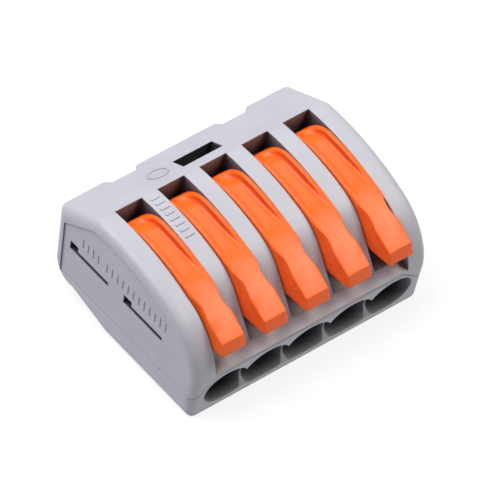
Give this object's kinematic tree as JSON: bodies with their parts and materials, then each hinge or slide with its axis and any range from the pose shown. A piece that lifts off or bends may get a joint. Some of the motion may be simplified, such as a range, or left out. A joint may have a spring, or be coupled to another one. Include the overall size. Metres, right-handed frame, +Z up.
{
  "type": "lever wire connector",
  "caption": "Block wire connector with a row of hand levers over oval wire entries, cage clamps and a common busbar.",
  "frame": {"origin": "middle of the housing's length and depth, on the flat underside", "axes": "+X along the row of poles, -Y to the side where the wires go in, +Z up"},
  "size_m": [0.028, 0.0221, 0.0133],
  "materials": {
    "grey_plastic": "fine satin moulded polyamide",
    "orange_plastic": "semi-gloss moulded plastic",
    "spring_steel": "plain rolled strip",
    "tinned_copper": "tin plated copper"
  },
  "bodies": {
    "housing": {"upper_housing": "grey_plastic", "lower_housing": "grey_plastic", "busbar": "tinned_copper", "clamp_spring_1": "spring_steel", "clamp_spring_2": "spring_steel", "clamp_spring_3": "spring_steel", "clamp_spring_4": "spring_steel", "clamp_spring_5": "spring_steel"},
    "lever_body_1": {"lever_1": "orange_plastic"},
    "lever_body_2": {"lever_2": "orange_plastic"},
    "lever_body_3": {"lever_3": "orange_plastic"},
    "lever_body_4": {"lever_4": "orange_plastic"},
    "lever_body_5": {"lever_5": "orange_plastic"},
    "clamp_body_1": {"clamp_jaw_1": "spring_steel"},
    "clamp_body_2": {"clamp_jaw_2": "spring_steel"},
    "clamp_body_3": {"clamp_jaw_3": "spring_steel"},
    "clamp_body_4": {"clamp_jaw_4": "spring_steel"},
    "clamp_body_5": {"clamp_jaw_5": "spring_steel"}
  },
  "joints": [
    {"name": "lever_1_pivot", "type": "hinge", "parent": "housing", "child": "lever_body_1", "pos_m": [-0.01, 0.0015, 0.0094], "axis": [-1, 0, 0], "range_deg": [0, 90]},
    {"name": "clamp_1_flex", "type": "hinge", "parent": "housing", "child": "clamp_body_1", "pos_m": [-0.01, 0.0078, 0.007], "axis": [1, 0, 0], "range_deg": [0, 16.2]},
    {"name": "lever_2_pivot", "type": "hinge", "parent": "housing", "child": "lever_body_2", "pos_m": [-0.005, 0.0015, 0.0094], "axis": [-1, 0, 0], "range_deg": [0, 90]},
    {"name": "clamp_2_flex", "type": "hinge", "parent": "housing", "child": "clamp_body_2", "pos_m": [-0.005, 0.0078, 0.007], "axis": [1, 0, 0], "range_deg": [0, 16.2]},
    {"name": "lever_3_pivot", "type": "hinge", "parent": "housing", "child": "lever_body_3", "pos_m": [0, 0.0015, 0.0094], "axis": [-1, 0, 0], "range_deg": [0, 90]},
    {"name": "clamp_3_flex", "type": "hinge", "parent": "housing", "child": "clamp_body_3", "pos_m": [0, 0.0078, 0.007], "axis": [1, 0, 0], "range_deg": [0, 16.2]},
    {"name": "lever_4_pivot", "type": "hinge", "parent": "housing", "child": "lever_body_4", "pos_m": [0.005, 0.0015, 0.0094], "axis": [-1, 0, 0], "range_deg": [0, 90]},
    {"name": "clamp_4_flex", "type": "hinge", "parent": "housing", "child": "clamp_body_4", "pos_m": [0.005, 0.0078, 0.007], "axis": [1, 0, 0], "range_deg": [0, 16.2]},
    {"name": "lever_5_pivot", "type": "hinge", "parent": "housing", "child": "lever_body_5", "pos_m": [0.01, 0.0015, 0.0094], "axis": [-1, 0, 0], "range_deg": [0, 90]},
    {"name": "clamp_5_flex", "type": "hinge", "parent": "housing", "child": "clamp_body_5", "pos_m": [0.01, 0.0078, 0.007], "axis": [1, 0, 0], "range_deg": [0, 16.2]}
  ],
  "couplings": [
    {"joint": "clamp_1_flex", "follows": "lever_1_pivot", "ratio": 0.1797},
    {"joint": "clamp_2_flex", "follows": "lever_2_pivot", "ratio": 0.1797},
    {"joint": "clamp_3_flex", "follows": "lever_3_pivot", "ratio": 0.1797},
    {"joint": "clamp_4_flex", "follows": "lever_4_pivot", "ratio": 0.1797},
    {"joint": "clamp_5_flex", "follows": "lever_5_pivot", "ratio": 0.1797}
  ]
}
